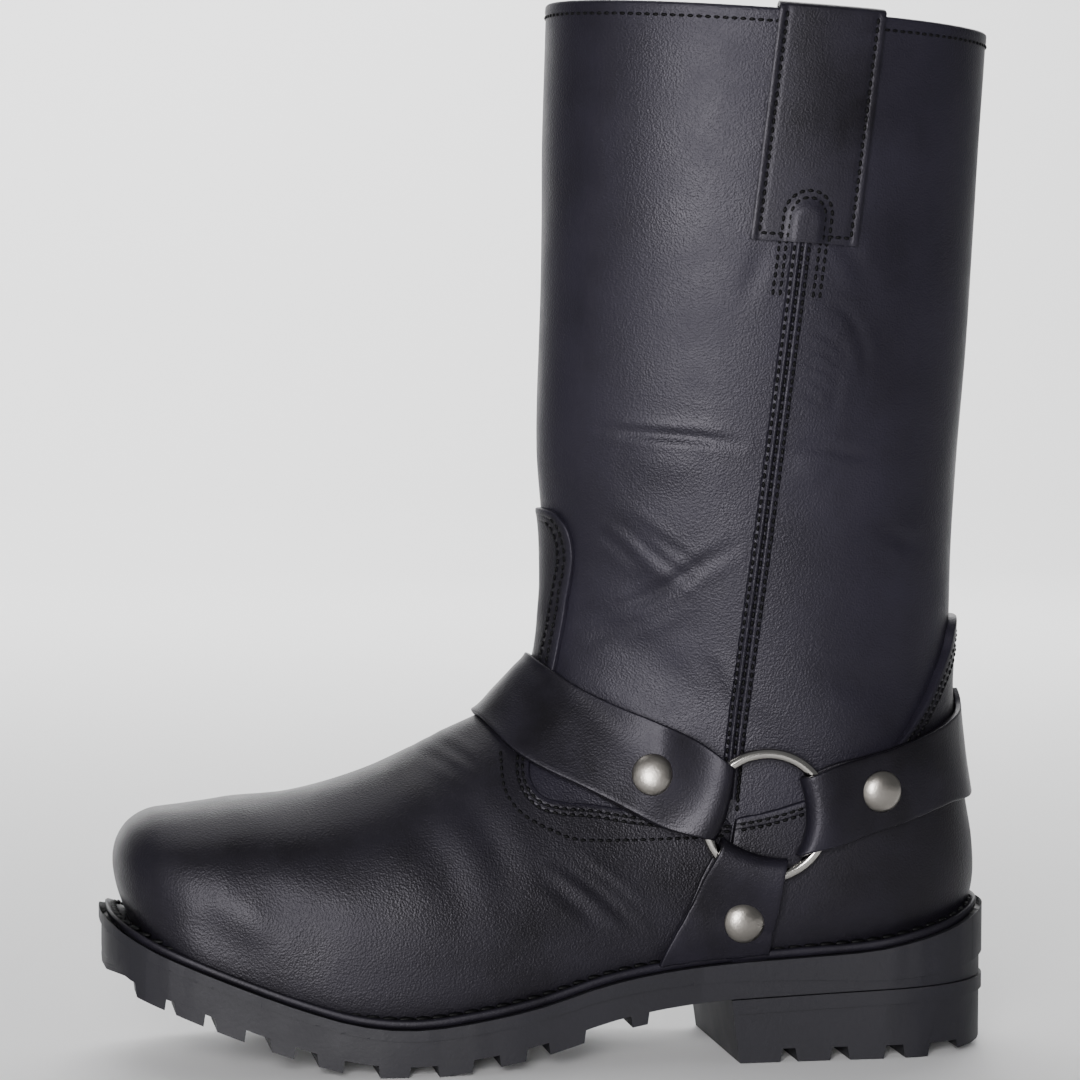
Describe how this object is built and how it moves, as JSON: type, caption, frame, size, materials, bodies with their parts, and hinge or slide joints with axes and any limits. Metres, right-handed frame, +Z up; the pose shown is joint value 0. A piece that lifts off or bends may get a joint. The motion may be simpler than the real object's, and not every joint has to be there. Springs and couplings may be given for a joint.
{
  "type": "harness boot",
  "caption": "Tall pull-on leather harness boot for the left foot, with strap rings at each side, pull straps, stitched welt and a lugged rubber sole with a block heel.",
  "frame": {"origin": "on the floor, under the middle of the boot's box", "axes": "+X from toe to heel, -Y towards the outer side of the foot, +Z up"},
  "size_m": [0.312, 0.112, 0.364],
  "materials": {
    "leather_upper": "smooth black full-grain leather with a soft satin sheen and a fine pebble",
    "leather_strap": "thick smooth black harness leather, satin",
    "leather_lining": "matt dark lining leather",
    "rubber_sole": "matt black moulded rubber",
    "welt": "black stitched welt",
    "ring_metal": "polished nickel plate",
    "rivet_metal": "antique nickel with soft brushing"
  },
  "bodies": {
    "boot": {"upper": "leather_upper", "insole": "leather_lining", "vamp": "leather_upper", "counter": "leather_upper", "welt": "welt", "outsole": "rubber_sole", "heel": "rubber_sole", "seam_lateral": "leather_upper", "seam_medial": "leather_upper", "pull_strap_lateral": "leather_strap", "pull_strap_medial": "leather_strap", "strap_front": "leather_strap", "strap_rear": "leather_strap", "strap_lower_lateral": "leather_strap", "strap_lower_medial": "leather_strap", "rivet_front_lateral": "rivet_metal", "rivet_front_medial": "rivet_metal", "rivet_rear_lateral": "rivet_metal", "rivet_rear_medial": "rivet_metal", "rivet_lower_lateral": "rivet_metal", "rivet_lower_medial": "rivet_metal"},
    "ring_outer": {"ring_lateral": "ring_metal"},
    "ring_inner": {"ring_medial": "ring_metal"}
  },
  "joints": [
    {"name": "ring_outer_turn", "type": "hinge", "parent": "boot", "child": "ring_outer", "pos_m": [0.0692, -0.0456, 0.08573], "axis": [0, 1, 0], "continuous": true},
    {"name": "ring_inner_turn", "type": "hinge", "parent": "boot", "child": "ring_inner", "pos_m": [0.0692, 0.0444, 0.08573], "axis": [0, 1, 0], "continuous": true}
  ]
}
